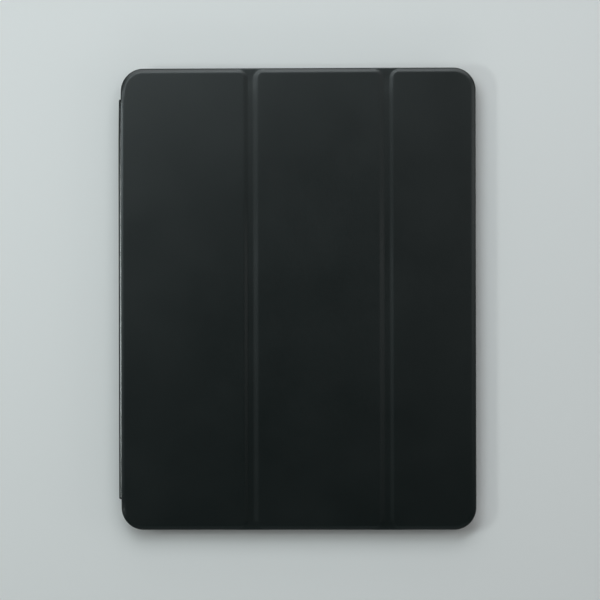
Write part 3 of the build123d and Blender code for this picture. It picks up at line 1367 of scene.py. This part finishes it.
    def build(self, workshop: Workshop) -> None:
        """Builds and dresses the spine's pieces and the two creases beside it.

        Args:
            workshop: Dresses the pieces.
        """
        for piece in workshop.dress_pair(self.flat(True), self.flat(False), "spine"):
            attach(piece, "spine")
        creases = (
            (Crease.REAR, ("shell", "spine"), self.rear_worn),
            (Crease.FRONT, ("spine", "inner_panel"), self.front_worn_and_lit),
        )
        for crease, bodies, worn_and_lit in creases:
            pieces = self.turned(crease, True, worn_and_lit), self.turned(crease, False, 0.0)
            for piece in workshop.dress_pair(*pieces, f"{crease.value}_crease"):
                self.bend(piece, crease)


# ------------------------------------------------------------------ sheets with a window


@dataclass
class WindowedSheet:
    """A thin sheet with rounded corners and a rounded window: the back leather or the tray's lining."""

    name: str
    node: str
    slot: Slot
    low: Array  # lowest corner of the sheet, without its tab
    high: Array
    corner: float
    camera: Pair  # X and Y of the window's middle
    opening: Pair  # the window's side and its corner radius
    edges: Pair  # radius of the lower and of the upper edges
    tab: Pair | None = None  # X that a tab reaches, and half its length
    spokes: int = 256
    corner_spokes: int = 41
    corner_spread: float = 1.3  # the corner radii that those cover to each side
    angle_decimals: int = 5  # rays that agree to this many are one
    far_away: float = 600.0  # beyond every edge
    halvings: int = 48
    shares: tuple[float, ...] = (0.06, 0.18, 0.36, 0.56, 0.76, 0.9)  # loops from the window to the edge
    turn_steps: int = 4

    def __post_init__(self) -> None:
        """Sends rays out from the window's middle, close together towards the sheet's corners."""
        self.middle = ((self.low[0] + self.high[0]) / 2, 0.0)
        self.half = ((self.high[0] - self.low[0]) / 2, self.high[1])
        corners = [
            (x - self.camera[0], y - self.camera[1])
            for x in (self.low[0], self.high[0])
            for y in (-self.high[1], self.high[1])
        ]
        even = np.linspace(0.0, 2 * math.pi, self.spokes, endpoint=False)
        fan = np.linspace(-1.0, 1.0, self.corner_spokes) * self.corner * self.corner_spread
        close = [math.atan2(y, x) + fan / math.hypot(x, y) for x, y in corners]
        angle = np.unique(np.round(np.concatenate([even, *close]) % (2 * math.pi), self.angle_decimals))
        self.rays = np.stack((np.cos(angle), np.sin(angle)), axis=-1)

    def crossing(self, depth: Callable[[Array], Array], inset: float) -> Array:
        """Where each ray comes that near to an edge, found by halving the ray's bracket.

        Args:
            depth: Distance of points inside the edge.
            inset: The distance that is looked for.

        Returns:
            Points in plan, one for each ray.
        """
        near = np.zeros((len(self.rays), 1))
        far = near + self.far_away
        for _ in range(self.halvings):
            middle = (near + far) / 2
            inside = (depth(self.camera + self.rays * middle) > inset)[:, None]
            near, far = np.where(inside, middle, near), np.where(inside, far, middle)
        return self.camera + self.rays * near

    def depth(self, points: Array) -> Array:
        """Distance of points inside the edge of the sheet, joined with its tab.

        Args:
            points: Places in plan.

        Returns:
            The distances, negative outside.
        """
        x, y = points.T
        distance = inside_rounded(x, y, self.middle, self.half, self.corner)
        if self.tab is None:
            return distance
        in_tab = np.minimum(x - self.tab[0], self.tab[1] - np.abs(y))
        return np.maximum(distance, np.where(x < self.middle[0], in_tab, -1.0))

    def outline(self, inset: float) -> Array:
        """The sheet's edge along the rays, drawn in by an inset."""
        return self.crossing(self.depth, inset)

    def window(self, inset: float) -> Array:
        """The window's edge along the rays.

        Args:
            inset: How far the edge is widened.

        Returns:
            Points in plan, one for each ray.
        """
        side, corner = self.opening
        half = (side / 2 + inset, side / 2 + inset)
        return self.crossing(lambda at: inside_rounded(*at.T, self.camera, half, corner + inset), 0.0)

    @staticmethod
    def level(loop: Array, z: float) -> Array:
        """A loop in plan as points at one height."""
        return np.concatenate((loop, np.full((len(loop), 1), z)), axis=1)

    def rolled(self, edge: Callable[[float], Array], radius: float, z: float, way: int) -> list[Array]:
        """Loops round one edge: a quarter circle between its upright and its flat side.

        Args:
            edge: The edge in plan at an inset.
            radius: Radius of the quarter circle, negative where it turns down from the top.
            z: Height of the flat side.
            way: 1 to go from the upright side to the flat one, and -1 to go back.

        Returns:
            The loops.
        """
        turn = np.linspace(0.0, RIGHT_ANGLE, self.turn_steps + 1)[::way]
        inset, rise = abs(radius) * (1.0 - np.cos(turn)), radius * (1.0 - np.sin(turn))
        return [self.level(edge(drawn), z + up) for drawn, up in zip(inset, rise, strict=True)]

    def spread(self, radius: float, z: float, way: int) -> list[Array]:
        """Flat loops between the window and the outline, outwards or back inwards.

        Args:
            radius: How far the two edges are rounded.
            z: Height of the loops.
            way: 1 to go outwards and -1 to go inwards.

        Returns:
            The loops.
        """
        inner, outer = self.window(radius), self.outline(radius)
        return [self.level(inner + (outer - inner) * share, z) for share in self.shares[::way]]

    def build(self, workshop: Workshop, body: str) -> None:
        """Builds the sheet as loops that go round the window, from its lower edge out and back over the top.

        Args:
            workshop: Dresses the piece.
            body: The body it rides on.
        """
        under, over = self.edges
        z0, z1 = self.low[2], self.high[2]
        loops = self.rolled(self.window, under, z0, 1) + self.spread(under, z0, 1)
        loops += self.rolled(self.outline, under, z0, -1) + self.rolled(self.outline, -over, z1, 1)
        loops += self.spread(over, z1, -1) + self.rolled(self.window, -over, z1, -1)
        shells = Shells()
        shells.carried(np.stack(loops), ring=True)
        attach(workshop.dress(shells.write(self.name), self.slot, self.node), body)


# ------------------------------------------------------------------ the case and its studio


@dataclass
class TabletCase:
    """The whole case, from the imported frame."""

    frame: Mapping[str, object]
    workshop: Workshop = field(default_factory=Workshop)
    camera_inset: float = 24.5  # the camera window's middle, in from the tray's right side and its top
    back_corner: float = 11.9  # corner radius of the back's leather
    back_opening: Pair = (40.0, 11.0)
    back_edges: Pair = (0.3, 0.05)
    lining_corner: float = 16.75  # corner radius of the tray's lining
    lining_opening: Pair = (36.4, 9.2)
    lining_edges: Pair = (0.05, 0.15)

    def pivots(self) -> dict[Crease, Array]:
        """X and Z of the two creases beside the spine, in millimetres."""
        places = {joint["name"]: np.array(joint["pos_m"])[[0, 2]] / METRES for joint in self.frame["joints"]}
        return {Crease.REAR: places["spine_swing"], Crease.FRONT: places["cover_open"]}

    def build_cover(self, form: CoverForm) -> None:
        """Builds the three panels and the two folds between them.

        Args:
            form: The cover's sizes.
        """
        first, second = form.folds
        half = form.half_crease
        Panel("inner", form, form.x_left, first - half, Side.LEFT).build(self.workshop)
        Panel("middle", form, first + half, second - half, Side.NONE).build(self.workshop)
        Panel("outer", form, second + half, form.x_right, Side.RIGHT, columns=14).build(self.workshop)
        Fold("inner", ("inner_panel", "middle_panel"), form, first).build(self.workshop)
        Fold("outer", ("middle_panel", "outer_panel"), form, second).build(self.workshop)

    def build_sheets(self) -> None:
        """Builds the back's leather and the tray's lining, each round the camera window."""
        low, high = box_mm("back_skin")
        tray_low, tray_high = box_mm("back_shell")
        camera = (tray_high[0] - self.camera_inset, tray_high[1] - self.camera_inset)
        tab = (low[0], box_mm("spine_skin")[1][1])
        low[0] = tray_low[0] + tray_high[1] - high[1]
        WindowedSheet(
            name="back_leather",
            node="back_skin",
            slot=Slot.LEATHER,
            low=low,
            high=high,
            corner=self.back_corner,
            camera=camera,
            opening=self.back_opening,
            edges=self.back_edges,
            tab=tab,
        ).build(self.workshop, "shell")
        low, high = box_mm("shell_lining")
        WindowedSheet(
            name="tray_microfibre",
            node="shell_lining",
            slot=Slot.LINING,
            low=low,
            high=high,
            corner=self.lining_corner,
            camera=camera,
            opening=self.lining_opening,
            edges=self.lining_edges,
        ).build(self.workshop, "shell")

    def build(self) -> None:
        """Builds every piece and coats the CAD nodes that stay in view."""
        form = CoverForm.from_frame()
        self.build_cover(form)
        Spine(form, self.pivots()).build(self.workshop)
        self.build_sheets()
        boards = {name: Slot.BOARD for name in self.frame["nodes"] if name.endswith("_board")}
        magnets = dict.fromkeys(("closing_magnets", "wake_magnet"), Slot.MAGNET)
        kept = {"back_shell": Slot.TRAY, "stand_strip": Slot.STEEL} | magnets | boards
        for name, slot in kept.items():
            self.workshop.coat(self.frame["nodes"][name], slot)


@dataclass(frozen=True)
class SoftLight:
    """One rectangular soft light, in metres and watts."""

    name: str
    place: Triple
    aim: Triple
    size: Pair
    power: float
    colour: Triple = (1.0, 1.0, 1.0)

    def hang(self) -> None:
        """Hangs the light, facing its aim."""
        light = bpy.data.lights.new(self.name, "AREA")
        light.shape = "RECTANGLE"
        light.size, light.size_y = self.size
        light.energy = self.power
        light.color = self.colour
        lamp = bpy.data.objects.new(self.name, light)
        bpy.context.scene.collection.objects.link(lamp)
        lamp.location = self.place
        lamp.rotation_mode = "QUATERNION"
        lamp.rotation_quaternion = (Vector(self.aim) - Vector(self.place)).to_track_quat("-Z", "Y")


@dataclass
class Studio:
    """A pale floor, soft lights, a room with a dark ceiling and pale walls, and the camera, in metres."""

    floor_size: float = 6.0
    floor_colour: Triple = (0.78, 0.78, 0.775)
    floor_roughness: float = 0.9
    floor_patches: Triple = (3.0, 2.0, 0.5)  # noise of its pale patches
    floor_mottle: float = 1.03  # and how much paler they are
    floor_drop: float = 0.0004  # how far the floor lies under the case
    camera_distance: float = 2.0
    sensor: float = 36.0
    view_width: float = 0.3688  # what the camera takes in at the height of the cover
    aim: Pair = (0.00180, -0.00062)
    yaw: float = math.radians(1.5)
    roll: float = math.radians(-0.12)
    ceiling: float = 0.0
    walls: float = 0.16
    horizon: float = 0.40
    wall_top: Pair = (0.35, 0.65)  # sines of the elevations between which the walls end
    horizon_top: Pair = (0.06, 0.16)  # and between which the horizon does
    lights: tuple[SoftLight, ...] = (
        SoftLight("overhead", (-0.26, 0.40, 1.05), (0.0, 0.0, 0.0), (0.8, 0.22), 2.85, (0.86, 0.98, 1.0)),
        SoftLight("key", (-0.02, 0.74, 0.86), (0.0, 0.03, 0.0), (1.3, 0.55), 5.0, (0.92, 0.98, 1.0)),
        SoftLight("back", (0.0, 1.0, 0.28), (0.0, 0.1, 0.0), (1.6, 0.5), 1.6),
        SoftLight("left", (-0.69, -0.02, 0.69), (-0.11, 0.0, 0.01), (0.24, 0.12), 1.7, (0.88, 0.97, 0.95)),
        SoftLight("right", (0.95, -0.10, 0.25), (0.1, 0.0, 0.0), (0.8, 0.5), 1.6),
        SoftLight("front", (0.1, -1.0, 0.30), (0.0, -0.1, 0.0), (1.0, 0.5), 1.8),
        SoftLight("upper_front", (0.0, -0.56, 0.90), (0.0, -0.1, 0.0), (0.8, 0.25), 0.2, (0.8, 1.0, 1.0)),
        SoftLight("upper_right", (0.50, 0.15, 0.95), (0.0, 0.0, 0.0), (0.3, 0.65), 0.76, (0.96, 1.0, 1.0)),
        SoftLight("upper_left", (-0.50, -0.02, 0.90), (0.0, 0.0, 0.0), (0.25, 0.8), 0.15, (0.8, 0.98, 1.0)),
    )

    def floor(self) -> None:
        """Lays the floor just under the case, and marks it as no part of it."""
        graph = Graph.material("floor")
        pale = tuple(tone * self.floor_mottle for tone in self.floor_colour)
        colour = graph.mixed(graph.noise(*self.floor_patches), self.floor_colour, pale)
        half, z = self.floor_size / 2, -self.floor_drop
        corners = [(-half, -half, z), (half, -half, z), (half, half, z), (-half, half, z)]
        mesh = bpy.data.meshes.new("floor")
        mesh.from_pydata(corners, [], [(0, 1, 2, 3)])
        mesh.materials.append(graph.surface({"Base Color": colour, "Roughness": self.floor_roughness}))
        floor = bpy.data.objects.new("floor", mesh)
        bpy.context.scene.collection.objects.link(floor)
        floor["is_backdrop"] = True

    def room(self) -> None:
        """Surrounds the scene with a room whose brightness depends on the height looked at.

        The sine of the elevation sets it: a pale horizon, then dimmer walls, then a dark ceiling, with
        smooth steps between.
        """
        world = bpy.data.worlds.new("studio")
        bpy.context.scene.world = world
        graph = Graph(world)
        direction = graph.node("ShaderNodeTexCoord").outputs["Generated"]
        parts = graph.node("ShaderNodeSeparateXYZ", inputs={"Vector": direction})
        rise = Value(graph, parts.outputs["Z"])
        upper = graph.smooth_step(rise, self.wall_top, self.walls, self.ceiling)
        lower = graph.smooth_step(rise, self.horizon_top, self.horizon - self.walls, 0.0)
        shader = graph.node("ShaderNodeBackground", inputs={"Strength": upper + lower})
        graph.node("ShaderNodeOutputWorld", inputs={"Surface": shader.outputs["Background"]})

    def camera(self) -> None:
        """Puts the camera over the case with the top edge up, turned a little about the case's length."""
        data = bpy.data.cameras.new("camera")
        data.sensor_width = self.sensor
        data.lens = self.sensor * self.camera_distance / self.view_width
        camera = bpy.data.objects.new("camera", data)
        bpy.context.scene.collection.objects.link(camera)
        turned = Matrix.Rotation(self.yaw, 4, "Y") @ Matrix.Rotation(self.roll, 4, "Z")
        aim = Matrix.Translation((*self.aim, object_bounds()[1][2]))
        camera.matrix_world = aim @ turned @ Matrix.Translation((0.0, 0.0, self.camera_distance))
        bpy.context.scene.camera = camera

    def build(self) -> None:
        """Sets up the whole studio."""
        self.floor()
        self.room()
        for light in self.lights:
            light.hang()
        self.camera()
        bpy.context.scene.view_settings.view_transform = "Standard"


def main() -> None:
    """Builds the case and its studio."""
    logging.basicConfig(level=logging.INFO, format="%(name)s: %(message)s")
    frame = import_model()
    TabletCase(frame).build()
    Studio().build()


if __name__ == "__main__":
    main()
